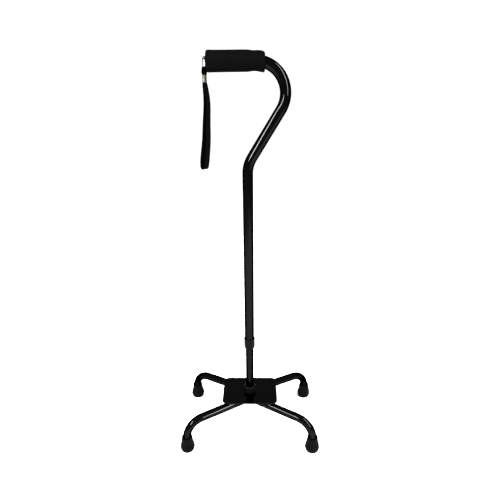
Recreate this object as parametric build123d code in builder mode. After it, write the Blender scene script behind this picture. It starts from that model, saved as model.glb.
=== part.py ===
from build123d import *
import os
from math import asin, atan2, cos, hypot, radians, sin, sqrt, tan

# Height-adjustable quad walking cane, in millimetres. +Z is up, the floor is Z = 0, and the
# origin is on the floor under the shaft. The grip runs along X, and the strap end is at -X.
os.makedirs("parts", exist_ok=True)

# ---- base: plate, legs and rubber tips -------------------------------------------------
foot_x = 144.9            # leg end from the shaft axis, along X
foot_y = 95.6             # leg end from the shaft axis, along Y
plate_top = 91.1          # height of the plate's upper face
plate_length = 131.4      # along X
plate_width = 97.5        # along Y
plate_thick = 3.0
plate_corner = 13.0
plate_edge = 0.8          # rounding of the plate's rims
leg_radius = 9.53         # 3/4 inch tube
leg_wall = 1.4
leg_bend = 40.0           # centreline radius of every leg bend
leg_apex_y = 12.4         # where the two halves of a leg tube would cross the Y axis
leg_fall = 0.0358         # fall of a leg for each millimetre of its length
leg_gap = 0.05            # between the leg tube's crown and the plate

bead_radius = 2.4         # weld beads between the legs and the plate
bead_length = 16.0
bead_along = 44.0         # from the leg tube's virtual middle, along the leg

tip_height = 36.5
tip_wall = 2.4            # rubber round the socket, at the mouth
tip_widening = 2.3        # from the mouth down to the ledge
tip_ledge_z = 17.5
tip_ledge = 1.2           # how far the ledge stands out
tip_flare = 2.4           # from above the ledge down to the widest place
tip_foot_z = 8.0          # height of the widest place
tip_undercut = 2.3        # from the widest place in to the sole
tip_sole_round = 2.4
tip_foot_round = 3.0
tip_fit = 0.08            # leg tube in the tip's socket
tip_sole_thick = 8.4
tip_mouth = 0.9           # how far the mouth is opened out
tread_depth = 1.3
tread_width = 1.4
tread_radii = (3.5, 7.0, 10.0)
washer_thick = 1.6
washer_hole = 2.5

# ---- upper tube ------------------------------------------------------------------------
upper_radius = 11.11      # 7/8 inch tube
upper_wall = 1.2
upper_bottom = 222.0      # height of the upper tube's lower end
hole_pitch = 25.4
hole_count = 10
hole_radius = 3.5
top_hole_z = 489.8
button_hole = 3           # holes between the top one and the one that the button is in
handle_z = 836.9          # grip axis
handle_bend = 57.9        # centreline radius of both handle bends
bend_reach = 74.25        # how far the handle bend's centreline reaches from the shaft
slant = 31.9              # slanted run, in degrees from the vertical

# ---- lower tube and its fastening to the plate -----------------------------------------
tube_gap = 0.385          # between the lower tube and the upper tube's bore, which makes it 3/4 inch
lower_wall = 1.5
lower_above_button = 32.0  # tube left above the snap button's axis
spigot_height = 38.0
spigot_fit = 0.08
spigot_chamfer = 1.5
rivet_radius = 4.0
rivet_head_radius = 6.6
rivet_head_thick = 3.2
rivet_chamfer = 1.4
weld_leg = 2.6            # height and width of the weld round the tube's foot
weld_gap = 0.04           # between the weld and the tube's face
ring_wall = 1.575         # trim ring round the tube's foot
ring_height = 15.6
ring_taper = 0.6          # the ring draws in this much towards its top
ring_chamfer = 1.6
ring_lip = 0.9            # the lip's bevel towards the tube
ring_fit = 0.3

# ---- grip, end plug and strap ----------------------------------------------------------
grip_left = -75.9
grip_right = 33.9
grip_radius = 19.3
grip_round = 5.0
grip_fit = 0.06
tube_end_inset = 2.8      # handle tube's end inside the foam
plug_head_thick = 2.2
plug_depth = 14.0
lug_thick = 2.6
lug_radius = 2.4
lug_hole_radius = 1.4
lug_reach = 4.4           # from the foam's end to the lug's hole
lug_rise = 6.2            # the lug's hole above the grip's axis
ring_wire = 0.75          # wire radius of the split ring
ring_mean_radius = 8.9
ring_rest = 0.3           # between the ring and the bottom of the lug's hole
ring_turn = 12.0          # the ring's plane, in degrees from the YZ plane
tab_turn = 15.0           # the tab's and the crimp's broad faces, from the YZ plane
tab_width = 6.5           # the webbing is bunched up where it passes the ring
tab_bend = 2.4            # centreline radius over the ring's wire
tab_rest = 0.15
strap_turn = 30.0         # the loop's broad faces, from the YZ plane
strap_width = 12.7        # 1/2 inch webbing
strap_thick = 1.5
strap_half_gap = 0.15     # half the space between the two layers inside the crimp
crimp_drop = 24.4         # from the grip's axis down to the crimp
crimp_height = 12.4
crimp_wall = 0.8
crimp_width = 10.6
crimp_room = 0.25         # beside the webbing, inside the crimp
crimp_corner = 1.2
strap_clear = 0.2         # between the crimp and the ends of the loop

# ---- height lock -----------------------------------------------------------------------
button_radius = 3.175
button_fit = 0.085
button_proud = 2.3        # how far the button stands out of the upper tube
clip_thick = 0.6
clip_half_width = 3.4
button_round = 1.9
clip_gap = 0.975          # between the clip's legs and the lower tube's bore
clip_below = 36.0         # the clip's fold below the button
clip_above = 9.0
clip_fold = 1.6           # half the width of the clip's folded end
clip_bends = [6.0, 1.4, 1.4, 6.0]
nut_wall = 1.77
nut_top = 240.0
nut_taper_z = 218.4
nut_bottom = 212.3
nut_end_wall = 1.255      # round the lower tube
nut_floor = 2.0           # thickness of the nut's lower end
nut_mouth = 0.7
nut_rim = 0.5
nut_fit = 0.12            # lock nut over both tubes
seat_drop = 5.5           # from the upper tube's end down to where the nut's cone starts
seat_gap = 0.3            # between the nut's cone and the collet
collet_wall = 0.7         # at the collet's lower end
collet_inset = 0.1        # the collet's head against the upper tube's outside
collet_slit = 2.0
slide_fit = 0.07          # collet and glide against the tubes
glide_head = 5.0
glide_chamfer = 1.2
glide_depth = 11.0

leg_crown = plate_top - plate_thick - leg_gap
button_z = top_hole_z - button_hole * hole_pitch
lower_top = button_z + lower_above_button
upper_bore = upper_radius - upper_wall
lower_radius = upper_bore - tube_gap
lower_bore = lower_radius - lower_wall
lug_x = grip_left - lug_reach
lug_z = handle_z + lug_rise
crimp_top = handle_z - crimp_drop
crimp_thick = 2 * (strap_half_gap + strap_thick + crimp_room + crimp_wall)


def save(piece, label):
    piece.part.label = label
    export_step(piece.part, f"parts/{label}.step")


def turned_plane(centre, turn):
    """An upright plane: its Y is up, and its X is +X turned by some degrees towards -Y."""
    across = (cos(radians(turn)), -sin(radians(turn)), 0)
    return Plane(origin=centre, x_dir=across, z_dir=(-sin(radians(turn)), -cos(radians(turn)), 0))


# ---- base plate ------------------------------------------------------------------------
with BuildPart() as base_plate:
    with BuildSketch(Plane.XY.offset(plate_top - plate_thick)):
        RectangleRounded(plate_length, plate_width, plate_corner)
        Circle(rivet_radius + spigot_fit, mode=Mode.SUBTRACT)
    extrude(amount=plate_thick)
    rims = base_plate.edges().filter_by(GeomType.LINE).filter_by(Plane.XY)
    fillet(rims, plate_edge)
save(base_plate, "base_plate")


# ---- leg tubes: each is one tube bent at the middle and at both knees -------------------
leg_run = hypot(foot_x, foot_y - leg_apex_y)
leg_mid_z = leg_crown - leg_radius
leg_knee_z = leg_mid_z - leg_fall * leg_run
leg_end_z = tip_sole_thick + washer_thick


def leg_tube(side):
    corners = [
        (-foot_x, side * foot_y, leg_end_z),
        (-foot_x, side * foot_y, leg_knee_z),
        (0, side * leg_apex_y, leg_mid_z),
        (foot_x, side * foot_y, leg_knee_z),
        (foot_x, side * foot_y, leg_end_z),
    ]
    with BuildPart() as tube:
        with BuildLine() as route:
            FilletPolyline(*corners, radius=leg_bend)
        with BuildSketch(Plane.XY.offset(leg_end_z)) as section:
            with Locations((-foot_x, side * foot_y)):
                Circle(leg_radius)
                Circle(leg_radius - leg_wall, mode=Mode.SUBTRACT)
        sweep(section.sketch, path=route.wires()[0])
    return tube


for name, side in (("front_leg_tube", -1), ("rear_leg_tube", 1)):
    save(leg_tube(side), name)

# weld beads in the corners between each leg tube and the plate's underside
bead_side = leg_radius * 0.66
bead_up = leg_radius * 0.98
leg_angle = atan2(foot_y - leg_apex_y, foot_x)
under = plate_top - plate_thick


def leg_frame(end, side, distance):
    """A plane across a leg at a distance from its virtual middle: Y up, Z along the leg."""
    fall = leg_fall * distance
    outward = Vector(end * cos(leg_angle), side * sin(leg_angle), -leg_fall)
    middle = Vector(outward.X * distance, side * leg_apex_y + outward.Y * distance, leg_mid_z - fall)
    sideways = Vector(-outward.Y, outward.X, 0).normalized()
    return Plane(origin=middle, x_dir=sideways, z_dir=outward)


with BuildPart() as leg_welds:
    for side in (-1, 1):
        for end in (-1, 1):
            with BuildSketch(leg_frame(end, side, bead_along)):
                with Locations((bead_side, bead_up), (-bead_side, bead_up)):
                    Circle(bead_radius)
                Circle(leg_radius + leg_gap, mode=Mode.SUBTRACT)
            extrude(amount=bead_length)
    with BuildSketch(Plane.XY.offset(under)):
        Rectangle(plate_length, plate_width)
    extrude(amount=4 * bead_radius, mode=Mode.SUBTRACT)
save(leg_welds, "leg_welds")


# ---- rubber tips -----------------------------------------------------------------------
socket_radius = leg_radius + tip_fit
tip_top_radius = socket_radius + tip_wall
tip_waist_radius = tip_top_radius + tip_widening
tip_foot_radius = tip_waist_radius + tip_flare
tip_sole_radius = tip_foot_radius - tip_undercut


def edges_of_radius(piece, radius):
    circles = piece.edges().filter_by(GeomType.CIRCLE)
    return circles.filter_by(lambda edge: abs(edge.radius - radius) < 0.01)


def rubber_tip(centre):
    with BuildPart() as tip:
        with BuildSketch(Plane.XZ):
            with BuildLine():
                Polyline(
                    (0, 0),
                    (tip_sole_radius, 0),
                    (tip_foot_radius, tip_foot_z),
                    (tip_waist_radius + tip_ledge, tip_ledge_z - tip_ledge / 2),
                    (tip_waist_radius, tip_ledge_z + tip_ledge / 2),
                    (tip_top_radius, tip_height),
                    (socket_radius + tip_mouth, tip_height),
                    (socket_radius, tip_height - 2 * tip_mouth),
                    (socket_radius, tip_sole_thick),
                    (0, tip_sole_thick),
                    close=True,
                )
            make_face()
        revolve(axis=Axis.Z)
        fillet(edges_of_radius(tip, tip_sole_radius), tip_sole_round)
        fillet(edges_of_radius(tip, tip_foot_radius), tip_foot_round)
        with BuildSketch(Plane.XY):
            for inner in tread_radii:
                Circle(inner + tread_width)
                Circle(inner, mode=Mode.SUBTRACT)
        extrude(amount=tread_depth, mode=Mode.SUBTRACT)
    with BuildPart() as placed:
        add(tip.part.moved(Location(centre)))
    return placed


feet = {
    "tip_front_left": (-foot_x, -foot_y, 0),
    "tip_front_right": (foot_x, -foot_y, 0),
    "tip_rear_left": (-foot_x, foot_y, 0),
    "tip_rear_right": (foot_x, foot_y, 0),
}
for name, centre in feet.items():
    save(rubber_tip(centre), name)

with BuildPart() as tip_washers:
    with BuildSketch(Plane.XY.offset(tip_sole_thick)):
        with Locations(*[(x, y) for x, y, _ in feet.values()]):
            Circle(leg_radius - tip_fit)
            Circle(washer_hole, mode=Mode.SUBTRACT)
    extrude(amount=washer_thick)
save(tip_washers, "tip_washers")


# ---- lower tube, spigot, weld and trim ring --------------------------------------------
with BuildPart() as lower_tube:
    with BuildSketch(Plane.XY.offset(plate_top)):
        Circle(lower_radius)
        Circle(lower_bore, mode=Mode.SUBTRACT)
    extrude(amount=lower_top - plate_top)
    with BuildSketch(Plane.YZ):
        with Locations((0, button_z)):
            Circle(button_radius + button_fit)
    extrude(amount=-lower_radius - 2, mode=Mode.SUBTRACT)
save(lower_tube, "lower_tube")

with BuildPart() as base_spigot:
    with BuildSketch(Plane.XZ):
        with BuildLine():
            Polyline(
                (0, plate_top - plate_thick - rivet_head_thick),
                (rivet_head_radius - rivet_chamfer, plate_top - plate_thick - rivet_head_thick),
                (rivet_head_radius, plate_top - plate_thick - rivet_head_thick + rivet_chamfer),
                (rivet_head_radius, plate_top - plate_thick),
                (rivet_radius, plate_top - plate_thick),
                (rivet_radius, plate_top),
                (lower_bore - spigot_fit, plate_top),
                (lower_bore - spigot_fit, plate_top + spigot_height - spigot_chamfer),
                (lower_bore - spigot_fit - spigot_chamfer, plate_top + spigot_height),
                (0, plate_top + spigot_height),
                close=True,
            )
        make_face()
    revolve(axis=Axis.Z)
save(base_spigot, "base_spigot")

weld_inner = lower_radius + weld_gap
with BuildPart() as foot_weld:
    with BuildSketch(Plane.XZ):
        with BuildLine():
            Polyline(
                (weld_inner, plate_top),
                (weld_inner + weld_leg, plate_top),
                (weld_inner, plate_top + weld_leg),
                close=True,
            )
        make_face()
    revolve(axis=Axis.Z)
save(foot_weld, "foot_weld")

ring_bore = lower_radius + ring_fit
ring_radius = ring_bore + weld_leg + ring_fit + ring_wall
ring_top_radius = ring_radius - ring_taper
with BuildPart() as foot_ring:
    with BuildSketch(Plane.XZ):
        with BuildLine():
            Polyline(
                (ring_bore + weld_leg + ring_fit, plate_top),
                (ring_radius, plate_top),
                (ring_top_radius, plate_top + ring_height - ring_chamfer),
                (ring_top_radius - ring_chamfer, plate_top + ring_height),
                (ring_bore + ring_lip, plate_top + ring_height),
                (ring_bore, plate_top + ring_height - ring_lip),
                (ring_bore, plate_top + weld_leg + 2 * ring_fit),
                close=True,
            )
        make_face()
    revolve(axis=Axis.Z)
    rims = edges_of_radius(foot_ring, ring_top_radius)
    rims += edges_of_radius(foot_ring, ring_top_radius - ring_chamfer)
    fillet(rims, ring_chamfer * 0.4)
save(foot_ring, "foot_ring")

glide_radius = upper_bore - slide_fit
with BuildPart() as tube_glide:
    with BuildSketch(Plane.XZ):
        with BuildLine():
            Polyline(
                (0, lower_top - glide_depth),
                (lower_bore - spigot_fit, lower_top - glide_depth),
                (lower_bore - spigot_fit, lower_top),
                (glide_radius, lower_top),
                (glide_radius, lower_top + glide_head - glide_chamfer),
                (glide_radius - glide_chamfer, lower_top + glide_head),
                (0, lower_top + glide_head),
                close=True,
            )
        make_face()
    revolve(axis=Axis.Z)
save(tube_glide, "tube_glide")


# ---- upper tube: shaft, lower bend, slanted run, handle bend and grip run in one tube ---
upper_handle_end = grip_left + tube_end_inset
slant_x = bend_reach - handle_bend * (1 - cos(radians(slant)))
slant_z = handle_z - handle_bend - handle_bend * sin(radians(slant))
corner_x = bend_reach - handle_bend + handle_bend / tan(radians(45 - slant / 2))
elbow_z = slant_z - slant_x / tan(radians(slant))
with BuildPart() as handle_tube:
    with BuildLine() as handle_route:
        FilletPolyline(
            (upper_handle_end, 0, handle_z),
            (corner_x, 0, handle_z),
            (0, 0, elbow_z),
            (0, 0, upper_bottom),
            radius=handle_bend,
        )
    with BuildSketch(Plane(origin=(upper_handle_end, 0, handle_z), z_dir=(1, 0, 0))) as handle_section:
        Circle(upper_radius)
        Circle(upper_bore, mode=Mode.SUBTRACT)
    sweep(handle_section.sketch, path=handle_route.wires()[0])
    with BuildSketch(Plane.YZ):
        for row in range(hole_count):
            with Locations((0, top_hole_z - row * hole_pitch)):
                Circle(hole_radius)
    extrude(amount=-upper_radius - 2, mode=Mode.SUBTRACT)
save(handle_tube, "handle_tube")

foam_bore = upper_radius + grip_fit
bend_start = bend_reach - handle_bend
foam_turn = asin((grip_right - bend_start) / handle_bend)
bend_points = [
    (bend_start + handle_bend * sin(turn), 0, handle_z - handle_bend * (1 - cos(turn)))
    for turn in (0, foam_turn / 2, foam_turn)
]
with BuildPart() as foam_grip:
    with BuildLine() as foam_route:
        Line((grip_left, 0, handle_z), bend_points[0])
        ThreePointArc(*bend_points)
    with BuildSketch(Plane(origin=(grip_left, 0, handle_z), z_dir=(1, 0, 0))) as foam_section:
        Circle(grip_radius)
        Circle(foam_bore, mode=Mode.SUBTRACT)
    sweep(foam_section.sketch, path=foam_route.wires()[0])
    fillet(edges_of_radius(foam_grip, grip_radius), grip_round)
save(foam_grip, "foam_grip")

with BuildPart() as grip_plug:
    with BuildSketch(Plane(origin=(upper_handle_end, 0, handle_z), z_dir=(1, 0, 0))):
        Circle(upper_bore - slide_fit)
    extrude(amount=plug_depth)
    with BuildSketch(Plane(origin=(upper_handle_end, 0, handle_z), z_dir=(-1, 0, 0))):
        Circle(upper_radius - grip_fit)
    extrude(amount=plug_head_thick)
    with BuildSketch(Plane.XZ.offset(-lug_thick / 2)):
        with Locations((lug_x, lug_z)):
            Circle(lug_radius)
        with BuildLine():
            Polyline(
                (lug_x, lug_z + lug_radius),
                (lug_x, lug_z - lug_radius),
                (upper_handle_end - plug_head_thick, lug_z - 2.6 * lug_radius),
                (upper_handle_end - plug_head_thick, lug_z + lug_radius),
                close=True,
            )
        make_face()
        with Locations((lug_x, lug_z)):
            Circle(lug_hole_radius, mode=Mode.SUBTRACT)
    extrude(amount=lug_thick)
save(grip_plug, "grip_plug")

# ---- wrist strap: ring, tab, crimp and hanging loop ------------------------------------
ring_top_z = lug_z - (lug_hole_radius - ring_wire) + ring_rest
ring_centre_z = ring_top_z - ring_mean_radius
ring_low_z = ring_centre_z - ring_mean_radius
with BuildPart() as split_ring:
    with Locations(turned_plane((lug_x, 0, ring_centre_z), ring_turn + 90)):
        Torus(ring_mean_radius, ring_wire)
save(split_ring, "split_ring")

# the ring's wire rises towards both edges of the tab, so the tab clears it there
wire_rise = ring_mean_radius - sqrt(ring_mean_radius**2 - (tab_width / 2) ** 2)
tab_top = ring_low_z + wire_rise + ring_wire + tab_rest + strap_thick / 2
tab_low = crimp_top - crimp_height + crimp_wall
layer = strap_half_gap + strap_thick / 2
with BuildPart() as strap_tab:
    with BuildSketch(turned_plane((lug_x, 0, 0), tab_turn)):
        with BuildLine():
            near = Line((-layer, tab_low), (-layer, crimp_top))
            rise = Spline(near @ 1, (-tab_bend, tab_top - tab_bend), tangents=((0, 1), (0, 1)))
            over = ThreePointArc(rise @ 1, (0, tab_top), (tab_bend, tab_top - tab_bend))
            fall = Spline(over @ 1, (layer, crimp_top), tangents=((0, -1), (0, -1)))
            Line(fall @ 1, (layer, tab_low))
        trace(line_width=strap_thick)
    extrude(amount=tab_width / 2, both=True)
save(strap_tab, "strap_tab")

with BuildPart() as strap_crimp:
    centre = (lug_x, 0, crimp_top - crimp_height)
    across = (cos(radians(tab_turn)), -sin(radians(tab_turn)), 0)
    with BuildSketch(Plane(origin=centre, x_dir=across, z_dir=(0, 0, 1))):
        RectangleRounded(crimp_thick, crimp_width, crimp_corner)
        hollow = (crimp_thick - 2 * crimp_wall, crimp_width - 2 * crimp_wall)
        RectangleRounded(*hollow, crimp_corner - crimp_wall, mode=Mode.SUBTRACT)
    extrude(amount=crimp_height)
save(strap_crimp, "strap_crimp")

# the loop's route in its own plane, down one side and up the other: across, and the drop from
# the crimp
strap_end = crimp_top - crimp_height - strap_clear
strap_drops = [
    (-layer, 0),
    (0.5, 19),
    (0.4, 43),
    (-3.5, 72),
    (-6.0, 104),
    (-11.1, 132),
    (-13.8, 150),
    (-13.6, 164.2),
    (-5.2, 164.8),
    (-2.2, 151),
    (0.6, 132),
    (4.0, 105),
    (4.7, 72),
    (7.0, 43),
    (5.3, 19),
    (layer, 0),
]
strap_route = [(across, strap_end - drop) for across, drop in strap_drops]


def bend_radii(points):
    """One radius for each corner: as large as its two runs allow."""
    radii = []
    for before, corner, after in zip(points, points[1:], points[2:]):
        run_in = Vector(*corner) - Vector(*before)
        run_out = Vector(*after) - Vector(*corner)
        half_turn = radians(run_in.get_angle(run_out)) / 2
        radii.append(0.45 * min(run_in.length, run_out.length) / tan(half_turn))
    return radii


strap_radii = bend_radii(strap_route)
print("wrist_strap bend radii", [round(radius, 1) for radius in strap_radii])
with BuildPart() as wrist_strap:
    with BuildSketch(turned_plane((lug_x, 0, 0), strap_turn)):
        with BuildLine() as strap_line:
            FilletPolyline(*strap_route, radius=strap_radii)
        trace(line_width=strap_thick)
    extrude(amount=strap_width / 2, both=True)
save(wrist_strap, "wrist_strap")
strap_length = strap_line.wires()[0].length
strap_fill = wrist_strap.part.volume / (strap_length * strap_width * strap_thick)
print("wrist_strap length", round(strap_length, 1), "volume over section times length", round(strap_fill, 4))

# ---- height lock: collet and lock nut, snap button and its spring clip ------------------
seat_top = upper_bottom - seat_drop
seat_low = nut_bottom + nut_floor
cone_radius = lower_radius + slide_fit + collet_wall
collet_radius = upper_radius - collet_inset
with BuildPart() as collet:
    with BuildSketch(Plane.XZ):
        with BuildLine():
            Polyline(
                (lower_radius + slide_fit, upper_bottom),
                (collet_radius, upper_bottom),
                (collet_radius, seat_top + seat_gap),
                (cone_radius, seat_low + seat_gap),
                (lower_radius + slide_fit, seat_low + seat_gap),
                close=True,
            )
        make_face()
    revolve(axis=Axis.Z)
    with BuildSketch(Plane.XY.offset(seat_low)):
        with Locations((0, -upper_radius)):
            Rectangle(collet_slit, 2 * upper_radius)
    extrude(amount=upper_bottom - seat_low, mode=Mode.SUBTRACT)
save(collet, "collet")

nut_bore = upper_radius + nut_fit
nut_radius = nut_bore + nut_wall
nut_end_radius = lower_radius + nut_fit + nut_end_wall
with BuildPart() as lock_nut:
    with BuildSketch(Plane.XZ):
        with BuildLine():
            Polyline(
                (nut_bore, nut_top - nut_mouth),
                (nut_bore + nut_mouth, nut_top),
                (nut_radius - nut_rim, nut_top),
                (nut_radius, nut_top - nut_rim),
                (nut_radius, nut_taper_z),
                (nut_end_radius, nut_bottom),
                (lower_radius + nut_fit, nut_bottom),
                (lower_radius + nut_fit, seat_low),
                (cone_radius + seat_gap / 2, seat_low),
                (nut_bore, seat_top),
                close=True,
            )
        make_face()
    revolve(axis=Axis.Z)
save(lock_nut, "lock_nut")

button_tip = upper_radius + button_proud
clip_reach = lower_bore - clip_gap    # outer faces of the clip's two legs
with BuildPart() as snap_button:
    with BuildSketch(Plane(origin=(-clip_reach, 0, button_z), z_dir=(-1, 0, 0))):
        Circle(button_radius)
    extrude(amount=button_tip - clip_reach)
    fillet(snap_button.edges().sort_by(Axis.X)[0], button_round)
save(snap_button, "snap_button")

clip_line = clip_reach - clip_thick / 2
with BuildPart() as spring_clip:
    with BuildSketch(Plane.XZ):
        with BuildLine():
            FilletPolyline(
                (-clip_line, button_z + clip_above),
                (-clip_line, button_z - clip_above),
                (-clip_fold, button_z - clip_below),
                (clip_fold, button_z - clip_below),
                (clip_line, button_z - clip_above),
                (clip_line, button_z + clip_above),
                radius=clip_bends,
            )
        trace(line_width=clip_thick)
    extrude(amount=clip_half_width, both=True)
save(spring_clip, "spring_clip")
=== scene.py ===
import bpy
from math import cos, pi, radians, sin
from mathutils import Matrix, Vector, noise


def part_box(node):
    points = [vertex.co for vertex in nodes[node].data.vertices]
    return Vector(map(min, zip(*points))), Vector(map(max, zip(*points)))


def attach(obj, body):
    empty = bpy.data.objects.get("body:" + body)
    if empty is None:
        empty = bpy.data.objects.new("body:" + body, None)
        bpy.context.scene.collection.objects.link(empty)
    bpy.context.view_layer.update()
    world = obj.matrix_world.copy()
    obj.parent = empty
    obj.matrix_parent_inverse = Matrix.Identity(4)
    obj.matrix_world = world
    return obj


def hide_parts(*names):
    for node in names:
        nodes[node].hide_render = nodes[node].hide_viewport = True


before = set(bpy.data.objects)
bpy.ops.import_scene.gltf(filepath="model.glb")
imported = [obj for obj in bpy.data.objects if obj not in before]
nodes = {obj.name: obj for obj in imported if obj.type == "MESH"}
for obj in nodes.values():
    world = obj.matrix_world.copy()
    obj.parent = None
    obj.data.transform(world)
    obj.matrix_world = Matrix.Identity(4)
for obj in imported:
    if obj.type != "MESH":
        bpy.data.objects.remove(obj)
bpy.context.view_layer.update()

# %% [markdown]
# A walking cane with four feet, built around its CAD frame. The tubes, the base plate and the
# working parts come from CAD and keep their shape. This file gives them their finishes, and it
# makes again, in finer mesh, the pieces that CAD only blocks out: the foam grip and the wrist
# strap with its ring and clamp.

# %% [markdown]
# The camera stands a little under a metre in front of the cane, at about the height of its grip,
# and looks down by 20 degrees. Lens and place decide how strongly the base opens up below the
# shaft, so they come before any shape is judged.

# %% Camera
camera = bpy.data.objects.new("camera", bpy.data.cameras.new("camera"))
bpy.context.scene.collection.objects.link(camera)
bpy.context.scene.camera = camera
camera.data.sensor_width = 36
camera.data.lens = 30.335
camera.location = (0.01731, -0.86221, 0.77403)
look_down = radians(20.02)
turn = 0.0164
roll = -0.0092
camera.matrix_world = (
    Matrix.Translation(camera.location)
    @ Matrix.Rotation(turn, 4, "Z")
    @ Matrix.Rotation(pi / 2 - look_down, 4, "X")
    @ Matrix.Rotation(roll, 4, "Z")
)
print("camera at", tuple(round(v, 3) for v in camera.location))

# %% [markdown]
# The wrist strap is a loop of half inch webbing. Both its ends are held in a metal clamp, and it
# hangs free below. Its line is a NURBS curve through a few listed points: it leaves the
# clamp, bows to one side as it falls, folds over at the bottom and climbs back. The points lie
# in one upright plane, which is turned away from the grip's length.

# %% Helpers for lines
def smooth_line(points, steps=24):
    """The points along a smooth NURBS line with these control points."""
    curve = bpy.data.curves.new("line", "CURVE")
    curve.dimensions = "3D"
    spline = curve.splines.new("NURBS")
    spline.points.add(len(points) - 1)
    for knot, point in zip(spline.points, points):
        knot.co = (*point, 1)
    spline.order_u = 3
    spline.use_endpoint_u = True
    spline.resolution_u = steps
    holder = bpy.data.objects.new("line", curve)
    bpy.context.scene.collection.objects.link(holder)
    mesh = bpy.data.meshes.new_from_object(holder)
    line = [vertex.co.copy() for vertex in mesh.vertices]
    bpy.data.objects.remove(holder)
    bpy.data.curves.remove(curve)
    bpy.data.meshes.remove(mesh)
    return line


def evenly(line, spacing):
    """The same line with its points about one spacing apart."""
    lengths = [(b - a).length for a, b in zip(line, line[1:])]
    total = sum(lengths)
    count = round(total / spacing)
    result = []
    index = 0
    passed = 0.0
    for k in range(count + 1):
        wanted = total * k / count
        while index < len(lengths) - 1 and passed + lengths[index] < wanted:
            passed += lengths[index]
            index += 1
        share = (wanted - passed) / lengths[index]
        result.append(line[index].lerp(line[index + 1], share))
    return result


def line_length(line):
    return sum((b - a).length for a, b in zip(line, line[1:]))


print("lines are smooth NURBS curves, cut into even steps")

# %% [markdown]
# The strap hangs below its clamp, so its points are given as a distance to the side and a drop
# from the clamp. The clamp's own place is read from the CAD model and not typed in again, so the
# strap follows if the CAD part moves.

# %% The strap's line
hang_x = (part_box("strap_crimp")[0].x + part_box("strap_crimp")[1].x) / 2
crimp_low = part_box("strap_crimp")[0].z
crimp_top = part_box("strap_crimp")[1].z
strap_turn = radians(30)
strap_clear = 0.0002          # between the clamp and the loop's two ends
strap_end = crimp_low - strap_clear
strap_drops = [
    (-0.0009, 0),
    (0.0005, 0.019),
    (0.0004, 0.043),
    (-0.0035, 0.072),
    (-0.0060, 0.104),
    (-0.0111, 0.132),
    (-0.0138, 0.150),
    (-0.0136, 0.1642),
    (-0.0052, 0.1648),
    (-0.0022, 0.151),
    (0.0006, 0.132),
    (0.0040, 0.105),
    (0.0047, 0.072),
    (0.0070, 0.043),
    (0.0053, 0.019),
    (0.0009, 0),
]


def hanging(across, height, turn):
    """A point beside the strap's hanging axis, in the upright plane with this turn."""
    return Vector((hang_x + across * cos(turn), -across * sin(turn), height))


strap_route = [hanging(across, strap_end - drop, strap_turn) for across, drop in strap_drops]
strap_line = smooth_line(strap_route, 32)
strap_length = line_length(strap_line)
print("wrist strap: length", round(strap_length, 4), "m")

# %% [markdown]
# Webbing is a thin woven band, so it is a ribbon and not a tube. Each cross-section has two
# ribbed faces and two rounded edges, and the sections are joined along the line. The direction
# in which the band is wide is given as an angle round the upright axis, so the loop can twist as
# it hangs, as a real strap does. The ribs are shallow waves that swap places from one row of the
# weave to the next.

# %% Helpers for meshes
def mesh_piece(name, points, faces, finish):
    """A smooth-shaded mesh object with one finish."""
    mesh = bpy.data.meshes.new(name)
    mesh.from_pydata(points, [], faces)
    mesh.validate()
    mesh.materials.append(finish)
    mesh.polygons.foreach_set("use_smooth", [True] * len(mesh.polygons))
    piece = bpy.data.objects.new(name, mesh)
    bpy.context.scene.collection.objects.link(piece)
    return piece


def skin(rings, capped=True, endless=False):
    """All the points of the rings, and the faces that join each ring to the next."""
    around = len(rings[0])
    faces = []
    pairs = list(zip(range(len(rings)), range(1, len(rings))))
    if endless:
        pairs.append((len(rings) - 1, 0))
    for a, b in pairs:
        for k in range(around):
            nxt = (k + 1) % around
            faces.append((a * around + k, a * around + nxt, b * around + nxt, b * around + k))
    if capped and not endless:
        faces.append(tuple(reversed(range(around))))
        faces.append(tuple((len(rings) - 1) * around + k for k in range(around)))
    return [point for ring in rings for point in ring], faces


print("meshes are built as rings of points with a skin over them")

# %% The webbing's cross-section
webbing_thick = 0.0015
rib_height = 0.00009
row_pitch = 0.0020
ribs = 9
side_steps = 36
edge_steps = 6


def webbing_section(width, along):
    """One cross-section of the band: (across, out) pairs, once round."""
    half = webbing_thick / 2
    flat = width / 2 - half
    swap = cos(2 * pi * along / row_pitch)
    section = []
    for side in (1, -1):
        for k in range(side_steps):
            share = k / side_steps
            wave = cos(2 * pi * ribs * share) * swap
            section.append((side * flat * (2 * share - 1), side * (half - rib_height * (1 - wave))))
        for k in range(edge_steps):
            angle = pi * k / edge_steps
            section.append((side * (flat + half * sin(angle)), side * half * cos(angle)))
    return section


print("webbing section:", len(webbing_section(0.0127, 0)), "points")

# %% A ribbon of webbing
def webbing(name, line, width_at, turn_at, finish):
    """A ribbon along a line. width_at and turn_at give its width and turn at a point."""
    rings = []
    along = 0.0
    for k, here in enumerate(line):
        ahead = line[min(k + 1, len(line) - 1)] - line[max(k - 1, 0)]
        ahead.normalize()
        turn = turn_at(here, k / (len(line) - 1))
        wide = Vector((-sin(turn), -cos(turn), 0))
        wide = (wide - ahead * wide.dot(ahead)).normalized()
        out = ahead.cross(wide)
        width = width_at(here, k / (len(line) - 1))
        rings.append([here + wide * a + out * b for a, b in webbing_section(width, along)])
        if k + 1 < len(line):
            along += (line[k + 1] - here).length
    return mesh_piece(name, *skin(rings), finish)


print("webbing has", ribs, "ribs across, and a row every", row_pitch * 1000, "mm")

# %% [markdown]
# A finish starts from Blender's Principled shader. Values that are the same all over go straight
# on its sockets, and noise in real sizes drives the colour, the roughness and the bump. The
# helpers below make such a finish, so each material only says what is its own.

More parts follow.
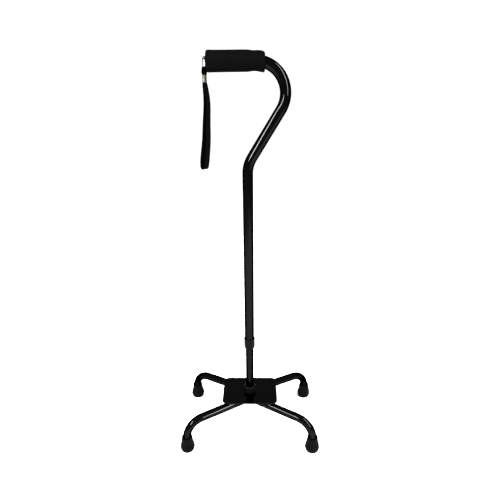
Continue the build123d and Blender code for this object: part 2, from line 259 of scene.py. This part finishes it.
# %% Helpers for finishes
def new_finish(name, **values):
    """A material with these values on its shader. Returns it, its nodes and its shader."""
    finish = bpy.data.materials.new(name)
    finish.use_nodes = True
    shader = finish.node_tree.nodes["Principled BSDF"]
    for socket, value in values.items():
        shader.inputs[socket.replace("_", " ")].default_value = value
    return finish, finish.node_tree, shader


def place_node(tree):
    return tree.nodes.new("ShaderNodeTexCoord").outputs["Object"]


def noise_node(tree, scale, detail=3.0, stretch=(1, 1, 1)):
    """Noise with features about one over scale metres wide, stretched along the axes."""
    mapping = tree.nodes.new("ShaderNodeMapping")
    mapping.inputs["Scale"].default_value = stretch
    tree.links.new(place_node(tree), mapping.inputs["Vector"])
    noise = tree.nodes.new("ShaderNodeTexNoise")
    noise.inputs["Scale"].default_value = scale
    noise.inputs["Detail"].default_value = detail
    tree.links.new(mapping.outputs["Vector"], noise.inputs["Vector"])
    return noise.outputs["Fac"]


def span_node(tree, factor, low, high, start=0.3, end=0.7):
    """Stretches a factor from start..end to low..high."""
    node = tree.nodes.new("ShaderNodeMapRange")
    tree.links.new(factor, node.inputs["Value"])
    node.inputs["From Min"].default_value = start
    node.inputs["From Max"].default_value = end
    node.inputs["To Min"].default_value = low
    node.inputs["To Max"].default_value = high
    return node.outputs["Result"]


def blend_colours(tree, factor, low, high):
    node = tree.nodes.new("ShaderNodeMix")
    node.data_type = "RGBA"
    tree.links.new(factor, node.inputs["Factor"])
    node.inputs["A"].default_value = (*low, 1)
    node.inputs["B"].default_value = (*high, 1)
    return node.outputs["Result"]


def add_bump(tree, shader, height, depth):
    """A bump that is depth metres high where height goes from 0 to 1, over earlier bumps."""
    bump = tree.nodes.new("ShaderNodeBump")
    bump.inputs["Strength"].default_value = 1.0
    bump.inputs["Distance"].default_value = depth
    tree.links.new(height, bump.inputs["Height"])
    if shader.inputs["Normal"].links:
        tree.links.new(shader.inputs["Normal"].links[0].from_socket, bump.inputs["Normal"])
    tree.links.new(bump.outputs["Normal"], shader.inputs["Normal"])


print("finishes have helpers for noise, spans, colours and bumps")

# %% [markdown]
# Polypropylene webbing is matt with a faint shine on the crowns of its yarns. The band's mesh
# carries the big ribs, and fine noise gives the yarn fibres.

# %% Webbing finish
black_webbing, tree, shader = new_finish("black_webbing", Roughness=0.8)
shader.inputs["Specular IOR Level"].default_value = 0.005
fibres = noise_node(tree, 2600, 2)
yarn_dark = (0.0002, 0.0002, 0.00024)
yarn_light = (0.0009, 0.0009, 0.0010)
tone = blend_colours(tree, span_node(tree, fibres, 0, 1), yarn_dark, yarn_light)
tree.links.new(tone, shader.inputs["Base Color"])
tree.links.new(span_node(tree, fibres, 0.62, 0.9), shader.inputs["Roughness"])
add_bump(tree, shader, fibres, 0.00012)
print("made the finish", black_webbing.name)

# %% [markdown]
# The loop follows the strap's line. A clamp squeezes a band narrower, so the loop is gathered
# there and reaches its full width a few millimetres below. It also turns slowly as it falls,
# because a limp strap seldom hangs in one plane.

# %% The loop of webbing
strap_width = 0.0127
gather_width = 0.0106
gather_height = 0.006
top_turn = radians(30)
low_turn = radians(43)
strap_low = min(point.z for point in strap_line)


def strap_width_at(here, share):
    """The band is gathered where it enters the clamp."""
    spread = min(1, (strap_end - here.z) / gather_height)
    return gather_width + (strap_width - gather_width) * sin(spread * pi / 2)


def strap_turn_at(here, share):
    fallen = (strap_end - here.z) / (strap_end - strap_low)
    return top_turn + (low_turn - top_turn) * fallen


loop_line = evenly(strap_line, 0.0005)
strap = webbing("webbing_loop", loop_line, strap_width_at, strap_turn_at, black_webbing)
print("webbing loop:", len(strap.data.polygons), "faces")

# %% [markdown]
# Above the clamp the webbing makes a small closed loop, the tab, which goes over the bottom of
# the steel ring. It is bunched up inside the ring and bulges out below it.

# %% The tab through the ring
tab_turn = radians(24)
tab_crown = 0.82722
tab_foot = crimp_low + 0.003  # the tab's ends are held this far up inside the clamp
ring_inside = 0.818           # above this height the tab is inside the ring
spread_height = 0.005         # over which it widens above the clamp
tab_half = [
    (0.0009, tab_foot),
    (0.0009, crimp_top),
    (0.0023, 0.8165),
    (0.0025, 0.8220),
    (0.0024, 0.8272),
]
tab_route = [hanging(-u, z, tab_turn) for u, z in tab_half]
tab_route += [hanging(u, z, tab_turn) for u, z in reversed(tab_half)]
tab_line = evenly(smooth_line(tab_route), 0.0004)
tab_narrow = 0.0085
tab_wide = 0.0122


def tab_width_at(here, share):
    """Narrow inside the ring and in the clamp, wide between them."""
    inside = max(0, (here.z - ring_inside) / (tab_crown - ring_inside))
    freed = max(0, min(1, (here.z - crimp_top) / spread_height))
    low = gather_width + (tab_wide - gather_width) * freed
    return low + (tab_narrow - low) * min(1, 1.6 * inside)


tab = webbing("webbing_tab", tab_line, tab_width_at, lambda here, share: tab_turn, black_webbing)
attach(tab, "strap")
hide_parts("strap_tab")
tab_top = max(point.z for point in tab_line)
print("webbing tab: line", round(line_length(tab_line), 4), "m, top", round(tab_top, 5))

# %% [markdown]
# The clamp is plated steel. Plating is bright but never a perfect mirror: handling leaves fine
# scuffs, which run mostly one way, so the noise is stretched along the height.

# %% Plated steel
plated_steel, tree, shader = new_finish("plated_steel", Metallic=1.0)
scuffs = noise_node(tree, 900, 4, (1, 1, 0.25))
plate_dark = (0.034, 0.031, 0.026)
plate_light = (0.062, 0.056, 0.048)
tone = blend_colours(tree, span_node(tree, scuffs, 0, 1), plate_dark, plate_light)
tree.links.new(tone, shader.inputs["Base Color"])
tree.links.new(span_node(tree, scuffs, 0.55, 0.4), shader.inputs["Roughness"])
add_bump(tree, shader, scuffs, 0.00003)
print("made the finish", plated_steel.name)

# %% [markdown]
# The clamp is one strip of metal, folded round the layers of webbing and pressed shut. Its
# section is a rounded oblong, and the press leaves it a little waisted. The two edges of the
# strip meet in a seam at the back. A formula gives the section, and repeated up the height it
# makes a sleeve with a real wall.

# %% The clamp's section
clamp_wide = 0.0106
clamp_thick = 0.0054
clamp_wall = 0.0008
clamp_corner = 0.0018
clamp_waist = 0.00035
clamp_seam = 0.00025
corner_steps = 8
clamp_rows = 24


def clamp_outline(inset, waist):
    """An open rounded oblong, from one edge of the seam round to the other: (out, across)."""
    out = clamp_thick / 2 - inset
    across = clamp_wide / 2 - inset
    corner = clamp_corner - inset
    outline = [(-out + waist, -clamp_seam)]
    for quarter in range(4):
        start = -pi + quarter * pi / 2
        middle_out = (corner - out) if quarter in (0, 3) else (out - corner)
        middle_across = (corner - across) if quarter in (0, 1) else (across - corner)
        for k in range(corner_steps + 1):
            angle = start + pi / 2 * k / corner_steps
            outline.append((middle_out + corner * cos(angle), middle_across + corner * sin(angle)))
        if quarter == 1:
            outline.append((out - waist, 0))
    outline.append((-out + waist, clamp_seam))
    return outline


print("clamp section:", len(clamp_outline(0, 0)), "points round the outside")

# %% The clamp
clamp_burr = 0.0002           # rounding of the sheared edges, and the least squeeze of the press
clamp_across = Vector((-sin(tab_turn), -cos(tab_turn), 0))
clamp_rings = []
for row in range(clamp_rows + 1):
    share = row / clamp_rows
    flare = clamp_waist * (1 - sin(pi * share) ** 0.5)
    press = clamp_waist * sin(pi * share) ** 2
    edge = clamp_burr if row in (0, clamp_rows) else 0.0
    outer = clamp_outline(edge - flare, press + clamp_burr)
    inner = clamp_outline(clamp_wall - edge - flare, press + clamp_burr)
    height = crimp_low + (crimp_top - crimp_low) * share
    ring = outer + inner[::-1]
    clamp_rings.append([hanging(a, height, tab_turn) + clamp_across * b for a, b in ring])
clamp = mesh_piece("strap_clamp", *skin(clamp_rings), plated_steel)
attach(clamp, "strap")
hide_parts("strap_crimp")
print("strap clamp:", len(clamp.data.vertices), "points")

# %% [markdown]
# The ring is a split ring, like a small key ring: flattened spring wire in two turns, one on the
# other, with a short step where the wire crosses from one turn to the next. The wire's path is
# two turns of a circle whose sideways place comes from a smooth step.

# %% Spring steel
spring_steel, tree, shader = new_finish("spring_steel", Metallic=1.0)
drawn = noise_node(tree, 1400, 3)
spring_dark = (0.018, 0.016, 0.015)
spring_light = (0.045, 0.042, 0.04)
tone = blend_colours(tree, span_node(tree, drawn, 0, 1), spring_dark, spring_light)
tree.links.new(tone, shader.inputs["Base Color"])
tree.links.new(span_node(tree, drawn, 0.22, 0.4), shader.inputs["Roughness"])
add_bump(tree, shader, drawn, 0.00002)
print("made the finish", spring_steel.name)

# %% The split ring
ring_low, ring_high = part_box("split_ring")
ring_wire = 0.00075
ring_mean = (ring_high.z - ring_low.z) / 2 - ring_wire
ring_middle = (ring_low + ring_high) / 2
ring_turn = radians(12)
turn_steps = 96
step_length = 0.08            # of a turn, for the crossing from one coil to the other
wire_round = 12
wire_flat = 0.48              # the wire's thickness as a share of its width
ring_start = radians(200)     # where the wire's two ends lie on the ring
ring_face = Vector((cos(ring_turn), -sin(ring_turn), 0))
ring_side = Vector((sin(ring_turn), cos(ring_turn), 0))
ring_rings = []
for k in range(2 * turn_steps + 1):
    turns = k / turn_steps
    crossing = max(0.0, min(1.0, (turns - 1 + step_length / 2) / step_length))
    sideways = ring_wire * (crossing * crossing * (3 - 2 * crossing) - 0.5)
    angle = 2 * pi * turns + ring_start
    outward = ring_side * cos(angle) + Vector((0, 0, 1)) * sin(angle)
    centre = ring_middle + outward * ring_mean + ring_face * sideways
    ring = []
    for step in range(wire_round):
        a = 2 * pi * step / wire_round
        section = outward * cos(a) + ring_face * wire_flat * sin(a)
        ring.append(centre + section * ring_wire)
    ring_rings.append(ring)
coil = mesh_piece("split_ring_coils", *skin(ring_rings), spring_steel)
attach(coil, "ring")
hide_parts("split_ring")
print("split ring: mean radius", round(ring_mean * 1000, 2), "mm")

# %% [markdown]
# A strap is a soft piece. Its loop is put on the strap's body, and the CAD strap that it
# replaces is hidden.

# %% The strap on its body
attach(strap, "strap")
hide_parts("wrist_strap")
print("cord declared, line", round(strap_length, 4), "m long")

# %% [markdown]
# Foam has no gloss at all. Its surface is a skin of tiny closed cells, so a Voronoi texture gives
# the cells and two noises give the grain and the slow change from place to place.

# %% Foam finish
foam_skin, tree, shader = new_finish("foam_skin", Roughness=0.9)
shader.inputs["Specular IOR Level"].default_value = 0.004
cells = tree.nodes.new("ShaderNodeTexVoronoi")
cells.inputs["Scale"].default_value = 1500
tree.links.new(place_node(tree), cells.inputs["Vector"])
clouds = noise_node(tree, 60, 4)
grains = noise_node(tree, 1100, 3)
foam_dark = (0.00045, 0.00045, 0.0005)
foam_light = (0.0014, 0.0014, 0.0015)
tone = blend_colours(tree, span_node(tree, grains, 0, 1, 0.35, 0.75), foam_dark, foam_light)
tree.links.new(tone, shader.inputs["Base Color"])
tree.links.new(span_node(tree, clouds, 0.82, 0.97), shader.inputs["Roughness"])
add_bump(tree, shader, cells.outputs["Distance"], 0.00022)
add_bump(tree, shader, grains, 0.00018)
print("made the finish", foam_skin.name)

# %% [markdown]
# The grip is a sleeve of closed-cell foam, pushed over the tube's end and a little way into its
# bend. Foam is soft, so the sleeve is thinner where the bend squeezes it and swells again in a
# lip at its end. Its outline is a smooth line through a few points, as distance along the tube
# and radius, and it is swept along the tube's own straight and bent line. A slow, small noise
# takes away the perfect roundness that foam never has.

# %% The grip's outline and path
foam_low, foam_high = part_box("foam_grip")
grip_radius = (foam_high.y - foam_low.y) / 2
grip_z = foam_high.z - grip_radius
tube_bend = 0.0579
bend_from = 0.07425 - tube_bend
grip_outline = [
    (-0.0690, 0.01122),
    (-0.0748, 0.01130),
    (-0.0760, 0.0122),
    (-0.0765, 0.0145),
    (-0.0760, 0.0180),
    (-0.0738, 0.0199),
    (-0.0690, 0.0197),
    (-0.0600, 0.01945),
    (-0.0300, 0.01935),
    (-0.0080, 0.01935),
    (0.0030, 0.01925),
    (0.0095, 0.0181),
    (0.0170, 0.01795),
    (0.0230, 0.0186),
    (0.0295, 0.0189),
    (0.0330, 0.0181),
    (0.0346, 0.0165),
    (0.0350, 0.0135),
    (0.0342, 0.0116),
    (0.0300, 0.01120),
]
grip_around = 160
unevenness = 0.00012
end_tilt = 0.05               # how much of the tube's turn the sleeve's sections follow


def along_tube(distance):
    """The tube's middle at a distance along it, and the direction that is up there."""
    if distance <= bend_from:
        return Vector((distance, 0, grip_z)), Vector((0, 0, 1))
    angle = (distance - bend_from) / tube_bend
    middle = Vector((bend_from + tube_bend * sin(angle), 0, grip_z - tube_bend * (1 - cos(angle))))
    tilt = end_tilt * angle
    return middle, Vector((sin(tilt), 0, cos(tilt)))


print("grip outline:", len(grip_outline), "points")

# %% The foam grip
profile = evenly(smooth_line([(distance, radius, 0) for distance, radius in grip_outline]), 0.0008)
foam_rings = []
for point in profile:
    middle, up = along_tube(point.x)
    ring = []
    for k in range(grip_around):
        angle = 2 * pi * k / grip_around
        outward = up * cos(angle) + Vector((0, 1, 0)) * sin(angle)
        place = middle + outward * point.y
        swell = noise.noise(place * 45) + 0.4 * noise.noise(place * 210)
        free = min(1, max(0, (point.y - 0.0125) / 0.004))
        ring.append(place + outward * unevenness * swell * free)
    foam_rings.append(ring)
foam = mesh_piece("foam_sleeve", *skin(foam_rings, capped=False), foam_skin)
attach(foam, "handle")
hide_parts("foam_grip")
print("foam sleeve:", len(foam.data.polygons), "faces")

# %% [markdown]
# The tubes are steel with a gloss black powder coat. Such a coat is smooth at a distance and has
# a faint orange peel close up, about a millimetre from crest to crest, which softens the edges of
# the reflections. The same helper makes the coat of the base, which is a little duller. A plain
# coat would turn white along a round tube's outline, where it is seen at a low angle. Here the
# shader is set to metallic with an almost black colour, because its tint then says how much is
# mirrored at such an angle, and a dark tint keeps the tubes black out to their edges. A real coat
# isn't metal, so this is a trick for the look and not a true description of the paint.

# %% Powder coat
def powder_coat(name, shade, gloss, peel, speck, edge):
    """Black coat.

    shade is how much it mirrors, gloss its roughness, peel the height of its ripples, speck the
    shade of its dust, and edge how much it still mirrors at a low angle.
    """
    coat, tree, shader = new_finish(name, Metallic=1.0)
    shader.inputs["Specular Tint"].default_value = (edge, edge, edge, 1)
    ripples = noise_node(tree, 700, 2)
    patches = noise_node(tree, 22, 5)
    dust = noise_node(tree, 3200, 2)
    specks = span_node(tree, dust, 0, 1, 0.62, 0.74)
    tone = blend_colours(tree, specks, (shade, shade, shade * 1.02), (speck, speck, speck))
    tree.links.new(tone, shader.inputs["Base Color"])
    tree.links.new(span_node(tree, patches, gloss * 0.8, gloss * 1.25), shader.inputs["Roughness"])
    add_bump(tree, shader, ripples, peel)
    return coat


shaft_coat = powder_coat("shaft_coat", 0.0036, 0.045, 0.000002, 0.0050, 0.12)
leg_coat = powder_coat("leg_coat", 0.0040, 0.07, 0.000004, 0.0055, 0.12)
plate_coat = powder_coat("plate_coat", 0.0036, 0.14, 0.000005, 0.0050, 0.55)
print("made the coats", shaft_coat.name, leg_coat.name, plate_coat.name)

# %% [markdown]
# The nut, the plugs and the trim ring are moulded black plastic, a little shiny with a fine grain.
# The tips are rubber, matt and slightly dusty. What sits inside the tubes is zinc-plated steel,
# which crystallises in soft patches of light and dark.

# %% Black plastic
black_plastic, tree, shader = new_finish("black_plastic_moulded")
shader.inputs["Specular IOR Level"].default_value = 0.015
grain = noise_node(tree, 1800, 2)
plastic_dark = (0.0006, 0.0006, 0.0007)
plastic_light = (0.0018, 0.0018, 0.0020)
tone = blend_colours(tree, span_node(tree, grain, 0, 1), plastic_dark, plastic_light)
tree.links.new(tone, shader.inputs["Base Color"])
tree.links.new(span_node(tree, grain, 0.3, 0.42), shader.inputs["Roughness"])
add_bump(tree, shader, grain, 0.00002)
print("made the finish", black_plastic.name)

# %% Rubber
tip_rubber, tree, shader = new_finish("tip_rubber_moulded")
shader.inputs["Specular IOR Level"].default_value = 0.01
bloom = noise_node(tree, 120, 5)
grit = noise_node(tree, 1500, 3)
rubber_dark = (0.0005, 0.0005, 0.0005)
rubber_light = (0.0016, 0.0016, 0.0015)
tone = blend_colours(tree, span_node(tree, bloom, 0, 1), rubber_dark, rubber_light)
tree.links.new(tone, shader.inputs["Base Color"])
tree.links.new(span_node(tree, grit, 0.5, 0.75), shader.inputs["Roughness"])
add_bump(tree, shader, grit, 0.00006)
print("made the finish", tip_rubber.name)

# %% Zinc-plated steel
hidden_steel, tree, shader = new_finish("zinc_plated_steel", Metallic=1.0)
crystals = noise_node(tree, 260, 4)
zinc_dark = (0.42, 0.42, 0.40)
zinc_light = (0.62, 0.62, 0.60)
tone = blend_colours(tree, span_node(tree, crystals, 0, 1), zinc_dark, zinc_light)
tree.links.new(tone, shader.inputs["Base Color"])
tree.links.new(span_node(tree, crystals, 0.3, 0.5), shader.inputs["Roughness"])
print("made the finish", hidden_steel.name)

# %% [markdown]
# The pieces that come from CAD keep their meshes. Each gets the finish of its real counterpart.

# %% Finishes for the CAD pieces
finishes = {
    "handle_tube": shaft_coat,
    "lower_tube": shaft_coat,
    "front_leg_tube": leg_coat,
    "rear_leg_tube": leg_coat,
    "leg_welds": leg_coat,
    "foot_weld": leg_coat,
    "base_spigot": hidden_steel,
    "base_plate": plate_coat,
    "foot_ring": black_plastic,
    "tube_glide": black_plastic,
    "grip_plug": black_plastic,
    "collet": black_plastic,
    "lock_nut": black_plastic,
    "snap_button": hidden_steel,
    "spring_clip": spring_steel,
    "tip_washers": hidden_steel,
}
tips = [name for name in nodes if name.startswith("tip_") and name != "tip_washers"]
finishes.update({name: tip_rubber for name in tips})
for name, finish in finishes.items():
    for place in nodes[name].material_slots:
        place.material = finish
print("finished", len(finishes), "CAD pieces")
left_over = sorted(set(nodes) - set(finishes))
print("CAD pieces made again here:", left_over)

# %% [markdown]
# The cane stands on a plain white floor. It is one big flat face.

# %% Floor
floor_mesh = bpy.data.meshes.new("floor")
floor_mesh.from_pydata([(-6, -6, 0), (6, -6, 0), (6, 6, 0), (-6, 6, 0)], [], [(0, 1, 2, 3)])
floor = bpy.data.objects.new("floor", floor_mesh)
bpy.context.scene.collection.objects.link(floor)
floor_paint = bpy.data.materials.new("floor_paint")
floor_paint.use_nodes = True
floor_shader = floor_paint.node_tree.nodes["Principled BSDF"]
floor_shader.inputs["Base Color"].default_value = (0.9, 0.9, 0.9, 1)
floor_shader.inputs["Roughness"].default_value = 0.9
floor_mesh.materials.append(floor_paint)
print("floor", tuple(round(v, 1) for v in floor.dimensions))

# %% [markdown]
# The light comes from everywhere, as in a white studio, so a plain white world does most of
# it. A black glossy cane needs something to mirror as well: two long narrow lamps, high on the
# left and on the right, draw the thin bright lines that show how round the tubes are.

# %% White studio
world = bpy.data.worlds.new("studio")
bpy.context.scene.world = world
world.use_nodes = True
background = world.node_tree.nodes["Background"]
background.inputs["Color"].default_value = (1, 1, 1, 1)
background.inputs["Strength"].default_value = 1.1
bpy.context.scene.view_settings.view_transform = "Standard"
print("world", world.name)

# %% Strip lights
def strip_light(name, start, end, width, target, power):
    """A long narrow lamp from start to end, turned to face the target."""
    start, end = Vector(start), Vector(end)
    middle = (start + end) / 2
    back = (middle - Vector(target)).normalized()
    along = (end - start).normalized()
    side = along.cross(back).normalized()
    back = side.cross(along)
    lamp = bpy.data.lights.new(name, "AREA")
    lamp.shape = "RECTANGLE"
    lamp.size = width
    lamp.size_y = (end - start).length
    lamp.energy = power
    light = bpy.data.objects.new(name, lamp)
    bpy.context.scene.collection.objects.link(light)
    facing = Matrix((side, along, back)).transposed().to_4x4()
    light.matrix_world = Matrix.Translation(middle) @ facing
    print(name, "is", round(lamp.size_y, 2), "m long")


mid_cane = (0, 0, 0.6)
strip_light("right_strip", (1.20, -1.45, 0.72), (0.90, 0.05, 2.00), 0.18, mid_cane, 150)
strip_light("left_strip", (-0.80, -1.25, 0.85), (-1.15, -0.55, 1.55), 0.16, mid_cane, 105)
